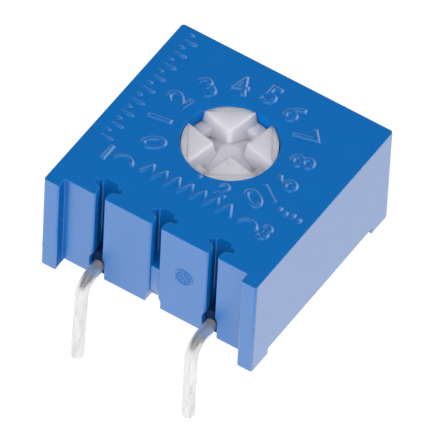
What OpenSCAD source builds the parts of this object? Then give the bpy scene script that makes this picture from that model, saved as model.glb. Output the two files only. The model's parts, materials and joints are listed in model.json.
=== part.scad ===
// Single-turn trimmer potentiometer, 3/8 inch square, adjusted from the top.
// The origin is the middle lead where it passes the board's face. +Z is up, out of the board,
// and +Y points from the two front leads to the back of the body. All lengths are millimetres.

/* [Body] */
// Width of the moulding across the leads
body_w = 9.53; // [8.5:0.01:11]
// Depth of the moulding, over the front posts
body_d = 9.53; // [9:0.01:11]
// Height of the moulding above its feet
body_h = 4.55; // [4.3:0.01:6]
// Height of the four feet, which hold the moulding off the board
standoff = 0.30; // [0.1:0.01:0.8]
// Length of each foot, front to back
foot_len = 1.15; // [0.8:0.01:1.8]
// Slope cut off the lower inside edge of each foot
foot_cut = 0.14; // [0.05:0.01:0.25]
// Width of the two front corner posts and of all four feet
post_w = 0.68; // [0.4:0.01:0.9]
// Distance that the front face stands back from the front posts
post_step = 0.44; // [0.2:0.01:0.6]
// Radius of the upright corners
corner_r = 0.14; // [0.05:0.01:0.25]
// Slope cut off the top edges
edge_cut = 0.07; // [0.02:0.01:0.15]

/* [Walls] */
// Side walls of the hollow
side_wall = 0.66; // [0.5:0.01:0.8]
// Back wall of the hollow
back_wall = 0.44; // [0.35:0.01:0.5]
// Front wall, from the stepped-back face to the hollow
front_wall = 1.20; // [1.1:0.01:1.35]
// Top plate round the rotor
plate_t = 0.70; // [0.5:0.01:1]
// Thickness of the moulding over the rotor's flange
roof_t = 1.27; // [1.1:0.01:1.5]
// Diameter of the round well that the rotor's flange turns in
well_d = 7.10; // [6.9:0.01:7.2]

/* [Front slots] */
// Width of each slot's mouth
mouth_w = 0.40; // [0.3:0.01:0.5]
// Rounding of the mouth's two edges
lip_r = 0.09; // [0.03:0.01:0.15]
// Thickness of the lips beside the mouth
lip_t = 0.45; // [0.3:0.01:0.5]
// Width over the two arms behind the lips
arm_w = 1.20; // [0.9:0.01:1.4]
// Depth of the arms, front to back
arm_d = 0.25; // [0.15:0.01:0.3]
// Width of the groove behind the arms
groove_w = 0.46; // [0.3:0.01:0.6]
// Depth of the groove behind the arms
groove_d = 0.20; // [0.1:0.01:0.25]
// Width of the arch notch at the foot of each slot
notch_w = 0.67; // [0.6:0.01:0.8]
// Height of the arch notches that the front leads pass
notch_h = 1.15; // [0.95:0.01:1.2]
// Height of the blind notch under the middle slot
blind_h = 0.65; // [0.45:0.01:0.8]
// Depth of the blind notch
blind_d = 0.50; // [0.3:0.01:0.6]
// Height at which the ramp in the middle slot leaves the front face
ramp_low = 1.00; // [0.85:0.01:1.3]
// Height at which that ramp meets the back of the slot
ramp_high = 2.20; // [1.9:0.01:2.6]

/* [Marks] */
// Height of the raised marks on the top
mark_t = 0.05; // [0.03:0.01:0.08]
// Width of the strokes of the marks
stroke_w = 0.12; // [0.08:0.01:0.16]
// Length of the resistor sign's zigzag
zigzag_w = 4.05; // [3:0.05:4.4]
// Height of the zigzag's teeth
zigzag_h = 0.48; // [0.3:0.01:0.6]
// Teeth in the zigzag
zigzag_teeth = 7; // [5:1:9]
// Distance of the resistor sign behind the stepped-back front face
zigzag_back = 2.17; // [1.9:0.01:2.3]
// Length of the tick between the sign and the rotor
tick_len = 0.30; // [0.2:0.01:0.35]
// Radius of the arcs at the two ends of the sign
arc_r = 0.38; // [0.25:0.01:0.42]
// Length of the graduation's longer bars
bar_len = 0.80; // [0.5:0.01:0.9]
// Length of the graduation's shorter bars
bar_short = 0.48; // [0.3:0.01:0.6]
// Distance of the graduation from the left side
bar_in = 0.40; // [0.3:0.01:0.6]
// Bars in the graduation
bar_count = 19; // [9:1:21]
// Spacing of the bars
bar_pitch = 0.36; // [0.3:0.01:0.38]

/* [Rotor] */
// Diameter of the rotor's face
rotor_d = 3.66; // [3.3:0.01:3.8]
// Running clearance round the rotor
rotor_gap = 0.065; // [0.03:0.005:0.09]
// Distance of the rotor's axis behind the middle of the body
axis_back = 0.745; // [0.7:0.005:0.78]
// Distance of the rotor's face below the top
face_drop = 0.03; // [0.01:0.01:0.1]
// Diameter of the flange inside the housing
flange_d = 6.30; // [6:0.01:6.4]
// Thickness of the flange
flange_t = 0.75; // [0.5:0.01:0.85]
// Running clearance over the flange
flange_gap = 0.03; // [0.02:0.01:0.08]
// Width of the four arms of the screwdriver slot
cross_w = 0.83; // [0.6:0.01:1]
// Depth of the arms at the rim
cross_rim_deep = 0.50; // [0.3:0.01:0.55]
// Depth of the slot in the middle
cross_mid_deep = 0.85; // [0.6:0.01:0.95]
// Radius inside which the slot has its full depth
cross_mid_r = 1.30; // [1.1:0.01:1.5]
// Turn of the rotor away from the middle of its travel
rest_turn = -12.5; // [-40:0.5:40]
// Full mechanical travel in degrees
travel = 310; // [290:1:320]
// Width of the rotor's stop lug in degrees
lug_turn = 20; // [14:1:24]
// Clearance round the stop lug
lug_gap = 0.06; // [0.04:0.01:0.1]
// Degrees left free at each end of the travel
stop_ease = 0.2; // [0.1:0.1:0.5]

/* [Seal] */
// Section diameter of the seal ring
seal_d = 0.52; // [0.45:0.01:0.55]
// Clearance round the seal ring's section
seal_gap = 0.02; // [0.01:0.005:0.04]

/* [Substrate] */
// Thickness of the alumina plate
sub_t = 0.60; // [0.5:0.01:0.64]
// Height of the plate's underside above the board
sub_z = 1.10; // [1.05:0.01:1.15]
// Gap between the plate and the housing
sub_gap = 0.05; // [0.03:0.01:0.08]
// Thickness of the printed films
film_t = 0.02; // [0.01:0.005:0.04]
// Middle radius of the resistive track
track_r = 2.80; // [2.6:0.01:2.9]
// Width of the resistive track
track_w = 0.60; // [0.4:0.01:0.7]
// Half of the angle that the track spans, from the back
track_half = 150; // [145:1:155]
// Angle by which each end pad reaches past its end of the track
pad_turn = 8; // [5:1:12]
// Width of the printed conductors
trace_w = 0.50; // [0.3:0.01:0.6]
// Radius of the collector's centre pad
collector_r = 0.45; // [0.4:0.01:0.6]

/* [Wiper] */
// Thickness of the wiper's sheet metal
wiper_t = 0.08; // [0.05:0.01:0.12]
// Radius of the wiper's plate
wiper_r = 2.00; // [1.8:0.01:2.2]
// Radius of the window that the fingers are cut from
window_r = 1.10; // [1:0.01:1.15]
// Distance from the window's edge to the fingers' bends
bend_in = 0.20; // [0.1:0.01:0.3]
// Width of each finger
finger_w = 0.20; // [0.12:0.01:0.24]
// Spacing of the fingers
finger_pitch = 0.28; // [0.26:0.01:0.3]
// Width of the finger that rests on the collector
collector_finger_w = 0.40; // [0.25:0.01:0.5]
// Fingers on the track
finger_count = 4; // [2:1:5]
// Radius of the rounded finger tips
tip_r = 0.09; // [0.07:0.01:0.12]
// Running clearance under the finger tips
tip_gap = 0.02; // [0.01:0.005:0.04]
// Radius at which the two stakes stand
stake_at = 1.45; // [1.4:0.01:1.5]
// Diameter of the stakes
stake_d = 0.50; // [0.4:0.01:0.55]
// Diameter of the stakes' flattened heads
stake_head_d = 0.76; // [0.7:0.01:0.8]
// Thickness of the stakes' flattened heads
stake_head_t = 0.14; // [0.1:0.01:0.16]

/* [Leads] */
// Diameter of the leads
lead_d = 0.51; // [0.46:0.01:0.56]
// Distance of each front lead from the middle, side to side
pitch = 2.54; // [2.4:0.01:2.6]
// Distance of the front leads in front of the middle lead
row_gap = 5.08; // [5:0.01:5.2]
// Distance of the front leads in front of the body's posts
front_out = 0.735; // [0.65:0.005:0.8]
// Length of the leads below the board's face
lead_len = 3.25; // [2.5:0.05:6]
// Height of the front leads' level run above the board
run_z = 0.72; // [0.69:0.01:0.74]
// Bend radius of the leads, at their middle line
bend_r = 0.38; // [0.3:0.01:0.4]
// Distance of the plate's front holes behind its front edge
hole_in = 0.50; // [0.5:0.01:0.6]
// Diameter of the nail heads
head_d = 0.74; // [0.7:0.01:0.78]
// Thickness of the nail heads
head_t = 0.12; // [0.08:0.01:0.14]
// Slope of the nail heads' sides
head_slope = 0.05; // [0.02:0.01:0.08]
// Growth of the middle lead's radius from the potting up to its head
shank_grow = 0.02; // [0.01:0.005:0.04]
// Width of the solder fillet round each head
solder_w = 0.10; // [0.06:0.01:0.12]
// Slope cut off the leads' tips
tip_cut = 0.06; // [0.03:0.01:0.12]
// Clearance of the leads in the plate and in the potting
lead_gap = 0.01; // [0.005:0.005:0.02]

/* [Potting] */
// Distance of the potting's underside above the housing's lower edge
pot_up = 0.05; // [0.03:0.01:0.08]
// Distance that the potting stays behind the front face in the notches
pot_back = 0.20; // [0.1:0.01:0.4]
// Gap between the potting and its neighbours
pot_gap = 0.01; // [0.005:0.005:0.02]

/* [Hidden] */
$fn = 48;
// sides of the large rounds, of the wires and of the finger tips
large_fn = 96;
wire_fn = 32;
tip_fn = 24;

// colours
blue = [0.03, 0.36, 0.72];
off_white = [0.86, 0.85, 0.86];
silicone = [0.55, 0.20, 0.14];
spring_metal = [0.80, 0.70, 0.48];
alumina = [0.93, 0.93, 0.90];
cermet = [0.16, 0.15, 0.15];
conductor = [0.78, 0.77, 0.74];
tinned = [0.80, 0.80, 0.82];
solder_grey = [0.66, 0.67, 0.69];
potting = [0.08, 0.16, 0.34];

// what one solid cut runs past a face
past = 1;

// levels
body_z = standoff;
top_z = body_z + body_h;
roof_z = top_z - roof_t;
plate_z = top_z - plate_t;
face_z = top_z - face_drop;
flange_z = roof_z - flange_gap;
flange_low = flange_z - flange_t;
sub_top = sub_z + sub_t;
seat_z = sub_top + sub_gap;
film_z = sub_top + film_t;
tip_z = film_z + tip_gap + tip_r;
stop_z = flange_low - lug_gap;
pot_z = body_z + pot_up;
pot_top = sub_z - pot_gap;

// places, front to back
post_y = front_out - row_gap;
front_y = post_y + post_step;
back_y = post_y + body_d;
axis_y = post_y + body_d / 2 + axis_back;
// the posts run this far back inside the moulding
post_root = front_y + post_step + 2 * corner_r;
hollow_front = front_y + front_wall;
hollow_back = back_y - back_wall;
hole_y = hollow_front + sub_gap + hole_in;
// length from the front leads to the plate's front holes
hole_back = hole_y + row_gap;
hollow_x = body_w / 2 - side_wall;

// radii
hole_r = rotor_d / 2 + rotor_gap;
well_r = well_d / 2;
flange_r = flange_d / 2;
lug_r = well_r - lug_gap;
seal_in = rotor_d / 2 + seal_gap;
groove_out = seal_in + seal_d + seal_gap;
seal_z = (flange_z + plate_z) / 2;
lead_r = lead_d / 2;
lead_hole_r = lead_r + lead_gap;
shank_hole_r = lead_r + shank_grow + lead_gap;
pocket_r = head_d / 2 + solder_w + sub_gap;
pad_r = head_d / 2 + solder_w;
stop_turn = 360 - travel - lug_turn - 2 * stop_ease;

// a plate with rounded upright corners, from one corner to the other
module rounded(x0, x1, y0, y1, r) {
    translate([x0 + r, y0]) square([x1 - x0 - 2 * r, y1 - y0]);
    translate([x0, y0 + r]) square([x1 - x0, y1 - y0 - 2 * r]);
    for (x = [x0 + r, x1 - r])
        for (y = [y0 + r, y1 - r])
            translate([x, y]) circle(r);
}

// a long 45 degree cut along X, its middle line on the edge that it takes off
module slope_cut(length, cut) {
    rotate([45, 0, 0]) cube([length, cut * sqrt(2), cut * sqrt(2)], center = true);
}

// an upright arch: straight sides and a half-round top, from the front face backwards
module arch(x, width, height, from_y, to_y) {
    translate([x, to_y, 0]) rotate([90, 0, 0]) linear_extrude(to_y - from_y) {
        translate([0, body_z + height - width / 2]) circle(width / 2);
        translate([-width / 2, body_z - past]) square([width, height - width / 2 + past]);
    }
}

// a slice of a ring, centred on an angle
module ring_slice(r_in, r_out, middle, turn, z0, z1) {
    rotate([0, 0, middle - turn / 2]) rotate_extrude(angle = turn, $fn = large_fn)
        translate([r_in, z0]) square([r_out - r_in, z1 - z0]);
}

// the plan of one front slot, at x = 0 with the front face at y = 0
module slot_plan() {
    translate([-mouth_w / 2, -past]) square([mouth_w, lip_t + arm_d + past]);
    translate([-arm_w / 2, lip_t]) square([arm_w, arm_d]);
    translate([-groove_w / 2, lip_t]) square([groove_w, arm_d + groove_d]);
    difference() {
        translate([-mouth_w / 2 - lip_r, -past]) square([mouth_w + 2 * lip_r, lip_r + past]);
        for (side = [-1, 1])
            translate([side * (mouth_w / 2 + lip_r), lip_r]) circle(lip_r);
        for (side = [-1, 1])
            translate([side * (mouth_w / 2 + lip_r) - lip_r, -2 * past]) square([2 * lip_r, 2 * past]);
    }
}

module front_slots() {
    slot_deep = lip_t + arm_d + groove_d;
    for (side = [-1, 1])
        translate([side * pitch, front_y, body_z + notch_h - notch_w / 2])
            linear_extrude(body_h) slot_plan();
    difference() {
        translate([0, front_y, body_z + ramp_low]) linear_extrude(body_h) slot_plan();
        translate([-arm_w, front_y, body_z]) rotate([90, 0, 90]) linear_extrude(2 * arm_w)
            polygon([[0, 0], [slot_deep + past, 0], [slot_deep + past, ramp_high],
                     [slot_deep, ramp_high], [0, ramp_low]]);
    }
}

module notches() {
    for (side = [-1, 1])
        arch(side * pitch, notch_w, notch_h, front_y - past, hollow_front + sub_gap);
    arch(0, notch_w, blind_h, front_y - past, front_y + blind_d);
}

module foot(side, y0) {
    x0 = side > 0 ? body_w / 2 - post_w : -body_w / 2;
    difference() {
        linear_extrude(standoff + corner_r)
            rounded(x0, x0 + post_w, y0, y0 + foot_len, corner_r);
        translate([x0 + (side > 0 ? 0 : post_w), y0 + foot_len / 2, 0])
            rotate([0, 0, 90]) slope_cut(2 * foot_len, foot_cut);
    }
}

module top_edge_cuts() {
    translate([0, back_y, top_z]) slope_cut(2 * body_w, edge_cut);
    // the front edge's slope stops short of the posts by its own width
    translate([0, front_y, top_z]) slope_cut(body_w - 2 * post_w - 2 * edge_cut, edge_cut);
    for (side = [-1, 1]) {
        translate([side * body_w / 2, 0, top_z]) rotate([0, 0, 90]) slope_cut(4 * body_d, edge_cut);
        translate([side * (body_w / 2 - post_w / 2), post_y, top_z]) slope_cut(2 * post_w, edge_cut);
    }
}

// a stroke of even width with round ends, from one point to the next
module stroke(from, to) {
    run = to - from;
    translate(from) circle(stroke_w / 2);
    translate(to) circle(stroke_w / 2);
    translate(from) rotate(atan2(run[1], run[0]))
        translate([0, -stroke_w / 2]) square([norm(run), stroke_w]);
}

// the raised resistor sign in front of the rotor, and the graduation down the left side
module marks() {
    step = zigzag_w / (2 * zigzag_teeth);
    tick_y = zigzag_h / 2 + 2 * stroke_w;
    tooth = [for (i = [0:2 * zigzag_teeth])
        [i * step - zigzag_w / 2, (i % 2 == 0 ? -1 : 1) * zigzag_h / 2]];
    linear_extrude(mark_t) {
        translate([0, front_y + zigzag_back]) {
            for (i = [1:len(tooth) - 1]) stroke(tooth[i - 1], tooth[i]);
            stroke([0, tick_y], [0, tick_y + tick_len]);
            for (side = [-1, 1])
                translate([side * (zigzag_w / 2 + arc_r + 2 * stroke_w), -zigzag_h / 2])
                    intersection() {
                        difference() {
                            circle(arc_r + stroke_w / 2);
                            circle(arc_r - stroke_w / 2);
                        }
                        translate([-body_w, 0]) square([2 * body_w, body_w]);
                    }
        }
        for (i = [0:bar_count - 1])
            translate([bar_in - body_w / 2, (post_y + back_y) / 2 + (i - (bar_count - 1) / 2) * bar_pitch])
                square([i % 2 == 0 ? bar_len : bar_short, stroke_w]);
    }
}

module housing() {
    color(blue) translate([0, 0, top_z]) marks();
    color(blue) difference() {
        union() {
            translate([0, 0, body_z]) linear_extrude(body_h) {
                rounded(-body_w / 2, body_w / 2, front_y, back_y, corner_r);
                for (x = [-body_w / 2, body_w / 2 - post_w])
                    rounded(x, x + post_w, post_y, post_root, corner_r);
            }
            for (side = [-1, 1]) {
                foot(side, post_y);
                foot(side, back_y - foot_len);
            }
        }
        top_edge_cuts();
        front_slots();
        notches();
        // the hollow for the plate and the potting
        translate([-hollow_x, hollow_front, body_z - past])
            cube([2 * hollow_x, hollow_back - hollow_front, seat_z - body_z + past]);
        // the well, the seal's groove and the rotor's hole, with the stop block left standing
        translate([0, axis_y, 0]) {
            difference() {
                translate([0, 0, seat_z - sub_gap])
                    cylinder(h = roof_z - seat_z + sub_gap, r = well_r, $fn = large_fn);
                ring_slice(flange_r + lug_gap, well_r + past, 270, stop_turn, stop_z, roof_z + past);
            }
            translate([0, 0, roof_z - sub_gap])
                cylinder(h = plate_z - roof_z + sub_gap, r = groove_out, $fn = large_fn);
            translate([0, 0, plate_z - sub_gap])
                cylinder(h = top_z - plate_z + past, r = hole_r, $fn = large_fn);
        }
        // room for the nail heads of the front leads
        for (side = [-1, 1])
            translate([side * pitch, hole_y, seat_z - sub_gap])
                cylinder(h = film_t + head_t + 2 * sub_gap, r = pocket_r);
    }
}

// everything on the rotor is drawn with the wiper towards the back, then turned to its rest
module on_rotor() {
    translate([0, axis_y, 0]) rotate([0, 0, rest_turn]) children();
}

module cross_slot() {
    reach = rotor_d;
    for (turn = [0, 90]) {
        rotate([0, 0, turn]) translate([-reach, -cross_w / 2, face_z - cross_rim_deep])
            cube([2 * reach, cross_w, cross_rim_deep + past]);
        intersection() {
            rotate([0, 0, turn]) translate([-reach, -cross_w / 2, face_z - cross_mid_deep])
                cube([2 * reach, cross_w, cross_mid_deep + past]);
            translate([0, 0, face_z - cross_mid_deep]) cylinder(h = cross_mid_deep + past, r = cross_mid_r);
        }
    }
}

module rotor() {
    color(off_white) on_rotor() {
        difference() {
            union() {
                translate([0, 0, flange_low + flange_t / 2])
                    cylinder(h = face_z - flange_low - flange_t / 2, r = rotor_d / 2, $fn = large_fn);
                translate([0, 0, flange_low]) cylinder(h = flange_t, r = flange_r, $fn = large_fn);
                ring_slice(flange_r - lug_gap, lug_r, 90, lug_turn, flange_low, flange_z);
            }
            cross_slot();
        }
        for (side = [-1, 1]) translate([side * stake_at, 0, flange_low - wiper_t]) {
            cylinder(h = wiper_t + flange_t / 2, r = stake_d / 2);
            translate([0, 0, -stake_head_t]) cylinder(h = stake_head_t, r = stake_head_d / 2);
        }
    }
}

module seal_ring() {
    color(silicone) translate([0, axis_y, seal_z]) rotate_extrude($fn = large_fn)
        translate([seal_in + seal_d / 2, 0]) circle(seal_d / 2);
}

// a finger that leaves the wiper's plate at one radius and touches down at another
module finger(x, y_from, y_to, width) {
    drop = flange_low - wiper_t / 2 - tip_z;
    run = y_to - y_from;
    slope = atan2(drop, abs(run));
    length = sqrt(drop * drop + run * run);
    translate([x, y_from, flange_low - wiper_t / 2]) rotate([run > 0 ? -slope : slope, 0, 0])
        translate([-width / 2, run > 0 ? 0 : -length, -wiper_t / 2]) cube([width, length, wiper_t]);
    translate([x - width / 2, y_to, tip_z]) rotate([0, 90, 0]) cylinder(h = width, r = tip_r, $fn = tip_fn);
}

module wiper() {
    color(spring_metal) on_rotor() {
        difference() {
            translate([0, 0, flange_low - wiper_t]) cylinder(h = wiper_t, r = wiper_r, $fn = large_fn);
            translate([0, 0, flange_low - wiper_t - past])
                cylinder(h = wiper_t + 2 * past, r = window_r);
            for (side = [-1, 1]) translate([side * stake_at, 0, flange_low - wiper_t - past])
                cylinder(h = wiper_t + 2 * past, r = stake_d / 2 + lead_gap);
        }
        for (i = [0:finger_count - 1])
            finger((i - (finger_count - 1) / 2) * finger_pitch, window_r + bend_in, track_r, finger_w);
        finger(0, -window_r - bend_in, 0, collector_finger_w);
    }
}

module substrate() {
    color(alumina) difference() {
        translate([-hollow_x + sub_gap, hollow_front + sub_gap, sub_z])
            cube([2 * (hollow_x - sub_gap), hollow_back - hollow_front - 2 * sub_gap, sub_t]);
        for (side = [-1, 1])
            translate([side * pitch, hole_y, sub_z - past]) cylinder(h = sub_t + 2 * past, r = lead_hole_r);
        translate([0, 0, sub_z - past]) cylinder(h = sub_t + 2 * past, r = shank_hole_r);
    }
}

module resistive_track() {
    color(cermet) translate([0, axis_y, 0])
        ring_slice(track_r - track_w / 2, track_r + track_w / 2, 90, 2 * track_half, sub_top, film_z);
}

module collector() {
    color(conductor) difference() {
        union() {
            translate([0, axis_y, sub_top]) cylinder(h = film_t, r = collector_r);
            translate([0, 0, sub_top]) cylinder(h = film_t, r = pad_r);
            translate([-trace_w / 2, 0, sub_top]) cube([trace_w, axis_y, film_t]);
        }
        translate([0, 0, sub_top - past]) cylinder(h = 2 * past, r = shank_hole_r);
    }
}

// the pad at one end of the track: a slice of ring and a straight trace to the lead
module end_pad(side) {
    end_turn = track_half + pad_turn / 2;
    end_x = side * track_r * sin(end_turn);
    end_y = axis_y + track_r * cos(end_turn);
    away = atan2(hole_y - end_y, side * pitch - end_x);
    gap = sqrt(pow(side * pitch - end_x, 2) + pow(hole_y - end_y, 2));
    color(conductor) difference() {
        union() {
            translate([0, axis_y, 0])
                ring_slice(track_r - track_w / 2, track_r + track_w / 2, 90 - side * end_turn, pad_turn,
                           sub_top, film_z);
            translate([end_x, end_y, sub_top]) rotate([0, 0, away])
                translate([0, -trace_w / 2, 0]) cube([gap, trace_w, film_t]);
            translate([side * pitch, hole_y, sub_top]) cylinder(h = film_t, r = pad_r);
        }
        translate([side * pitch, hole_y, sub_top - past]) cylinder(h = 2 * past, r = lead_hole_r);
        translate([0, axis_y, 0])
            ring_slice(track_r - track_w, track_r + track_w, 90, 2 * track_half,
                       sub_top - past, film_z + past);
    }
}

module end_pad_1() { end_pad(-1); }
module end_pad_3() { end_pad(1); }

// a quarter bend of wire in the YZ plane, about the origin, that ends at an angle above +Y
module quarter_bend(to, r) {
    rotate([to, 0, 0]) rotate([0, 90, 0]) rotate_extrude(angle = 90)
        translate([bend_r, 0]) circle(r, $fn = wire_fn);
}

// the hidden stretch of a front lead: its level run, the bend under the plate and the riser
module inner_wire(r) {
    translate([0, bend_r - row_gap, run_z]) rotate([-90, 0, 0])
        cylinder(h = hole_back - 2 * bend_r, r = r, $fn = wire_fn);
    translate([0, hole_y - bend_r, run_z + bend_r]) quarter_bend(0, r);
    translate([0, hole_y, run_z + bend_r]) cylinder(h = film_z - run_z - bend_r, r = r, $fn = wire_fn);
}

// the straight end of a lead, from a height down to its sloped tip
module lead_end(from_z) {
    translate([0, 0, tip_cut - lead_len])
        cylinder(h = from_z + lead_len - tip_cut, r = lead_r, $fn = wire_fn);
    translate([0, 0, -lead_len])
        cylinder(h = tip_cut, r1 = lead_r - tip_cut, r2 = lead_r, $fn = wire_fn);
}

module nail_head() {
    translate([0, 0, film_z]) cylinder(h = head_t, r1 = head_d / 2, r2 = head_d / 2 - head_slope);
}

// the middle lead's shank, which the heading of its wire has made wider towards the head
module shank(gap) {
    translate([0, 0, pot_z])
        cylinder(h = film_z - pot_z, r1 = lead_r + gap, r2 = lead_r + gap + shank_grow, $fn = wire_fn);
}

module front_lead(side) {
    color(tinned) translate([side * pitch, 0, 0]) {
        translate([0, -row_gap, 0]) lead_end(run_z - bend_r);
        translate([0, bend_r - row_gap, run_z - bend_r]) quarter_bend(180, lead_r);
        inner_wire(lead_r);
        translate([0, hole_y, 0]) nail_head();
    }
}

module lead_1() { front_lead(-1); }
module lead_3() { front_lead(1); }

module lead_2() {
    color(tinned) {
        lead_end(pot_z);
        shank(0);
        nail_head();
    }
}

// the fillet of solder round a nail head
module solder(x, y) {
    color(solder_grey) translate([x, y, film_z]) rotate_extrude()
        polygon([[head_d / 2, 0], [head_d / 2 + solder_w, 0], [head_d / 2 - head_slope, head_t]]);
}

module solder_1() { solder(-pitch, hole_y); }
module solder_2() { solder(0, 0); }
module solder_3() { solder(pitch, hole_y); }

module base_seal() {
    color(potting) difference() {
        union() {
            translate([-hollow_x + pot_gap, hollow_front + pot_gap, pot_z])
                cube([2 * (hollow_x - pot_gap), hollow_back - hollow_front - 2 * pot_gap, pot_top - pot_z]);
            intersection() {
                for (side = [-1, 1])
                    arch(side * pitch, notch_w - 2 * pot_gap, notch_h - pot_gap,
                         front_y + pot_back, hollow_front + 2 * pot_gap);
                translate([-body_w / 2, front_y, pot_z]) cube([body_w, 2 * front_wall, notch_h]);
            }
        }
        translate([0, 0, pot_z - past]) cylinder(h = 2 * past, r = lead_hole_r, $fn = wire_fn);
        shank(lead_gap);
        for (side = [-1, 1])
            translate([side * pitch, 0, 0]) inner_wire(lead_hole_r);
    }
}

housing();
rotor();
seal_ring();
wiper();
substrate();
resistive_track();
collector();
end_pad_1();
end_pad_3();
lead_1();
lead_2();
lead_3();
solder_1();
solder_2();
solder_3();
base_seal();
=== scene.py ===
"""Looks of a square single-turn trimmer potentiometer, laid out as an add-on and run as a script.

Every piece is drawn in millimetres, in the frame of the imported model, and brought to metres when it is
finished. Sizes and colours are held in property groups, and each piece or group of pieces has its operator.
"""
import json
import math

import bpy
from bpy.props import FloatProperty, FloatVectorProperty, IntProperty, PointerProperty
from mathutils import Matrix, Vector


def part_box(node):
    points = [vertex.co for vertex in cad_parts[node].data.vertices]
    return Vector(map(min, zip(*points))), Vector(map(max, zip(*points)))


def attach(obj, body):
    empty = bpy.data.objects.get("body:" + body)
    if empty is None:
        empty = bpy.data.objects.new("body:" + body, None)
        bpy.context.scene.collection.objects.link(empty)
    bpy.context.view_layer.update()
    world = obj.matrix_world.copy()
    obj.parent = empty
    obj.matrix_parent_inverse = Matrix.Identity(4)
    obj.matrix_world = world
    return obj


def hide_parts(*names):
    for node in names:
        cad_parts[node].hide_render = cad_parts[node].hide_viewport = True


bl_info = {
    "name": "Trimmer Potentiometer",
    "version": (1, 0, 0),
    "blender": (4, 5, 0),
    "location": "View3D > Sidebar > Trimmer",
    "description": "Builds the visible pieces, finishes and stage of a square trimmer potentiometer",
    "category": "Object",
}

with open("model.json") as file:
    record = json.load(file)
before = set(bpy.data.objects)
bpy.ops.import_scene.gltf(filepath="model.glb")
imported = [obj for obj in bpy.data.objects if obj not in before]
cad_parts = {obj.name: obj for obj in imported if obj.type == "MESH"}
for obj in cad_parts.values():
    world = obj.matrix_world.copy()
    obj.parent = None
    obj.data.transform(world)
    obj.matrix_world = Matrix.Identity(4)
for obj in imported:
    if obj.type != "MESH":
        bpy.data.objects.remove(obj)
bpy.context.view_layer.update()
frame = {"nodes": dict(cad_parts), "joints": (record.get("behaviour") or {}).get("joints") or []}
MM = 0.001


def corners(node):
    """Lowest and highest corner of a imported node, in millimetres."""
    low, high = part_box(node)
    return low / MM, high / MM


HOUSING_LOW, HOUSING_HIGH = corners("housing")
ROTOR_LOW, ROTOR_HIGH = corners("rotor")
PLATE_LOW, PLATE_HIGH = corners("substrate")
POTTING_LOW = corners("base_seal")[0]
LEAD_LOW = corners("lead_1")[0]
WIPER_HIGH = corners("wiper")[1]
AXIS_Y = frame["joints"][0]["pos_m"][1] / MM


def length(name, about, default):
    """A length in metres, given in millimetres."""
    return FloatProperty(name=name, description=about, default=default * MM, unit="LENGTH",
                         subtype="DISTANCE", precision=6, min=0.0)


def colour(name, about, default):
    return FloatVectorProperty(name=name, description=about, default=default, subtype="COLOR",
                               size=3, min=0.0, max=1.0)


# ---------------------------------------------------------------- property groups

class BodySizes(bpy.types.PropertyGroup):
    marks_high: length("Mark height", "Height of the raised marks on the top", 0.05)
    standoff: length("Foot height", "Height of the four feet under the moulding", 0.30)
    foot_long: length("Foot length", "Length of each foot, front to back", 1.15)
    foot_slope: length("Foot slope", "Slope on the lower inside edge of each foot", 0.14)
    post_wide: length("Post width", "Width of the front corner posts and of the feet", 0.68)
    post_proud: length("Post step", "Distance that the posts stand in front of the ribs", 0.44)
    corner_round: length("Corner rounding", "Radius of the upright corners", 0.14)
    edge_soft: length("Edge softness", "Radius of every other moulded edge", 0.035)
    mouth_wide: length("Slot mouth", "Width of each front slot's mouth", 0.40)
    lip_round: length("Lip rounding", "Radius of the two edges of a slot's mouth", 0.11)
    lip_swell: length("Lip swell", "Radius of the lips' inner corners", 0.27)
    lip_deep: length("Lip thickness", "Depth of the lips beside the mouth", 0.52)
    arm_wide: length("Arm width", "Width over the arms behind the lips", 1.08)
    arm_deep: length("Arm depth", "Depth of the arms, front to back", 0.21)
    groove_wide: length("Groove width", "Width of the groove behind the arms", 0.56)
    groove_deep: length("Groove depth", "Depth of the groove behind the arms", 0.17)
    notch_wide: length("Notch width", "Width of the arch notch at the foot of a slot", 0.67)
    notch_high: length("Notch height", "Height of the notches that the leads pass", 1.15)
    blind_high: length("Blind notch height", "Height of the notch under the middle slot", 0.65)
    blind_deep: length("Blind notch depth", "Depth of the notch under the middle slot", 0.50)
    middle_floor: length("Middle slot's floor", "Height of that floor above the moulding's foot", 2.02)
    side_wall: length("Side wall", "Side walls of the hollow underneath", 0.66)
    back_wall: length("Back wall", "Back wall of the hollow underneath", 0.44)
    front_wall: length("Front wall", "Front wall, from the ribs to the hollow", 1.20)
    plate_thick: length("Top plate", "Thickness of the top round the rotor", 0.70)
    roof_thick: length("Roof", "Thickness of the moulding over the rotor's flange", 1.27)
    well_wide: length("Well", "Diameter of the round well for the flange", 7.10)


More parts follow.
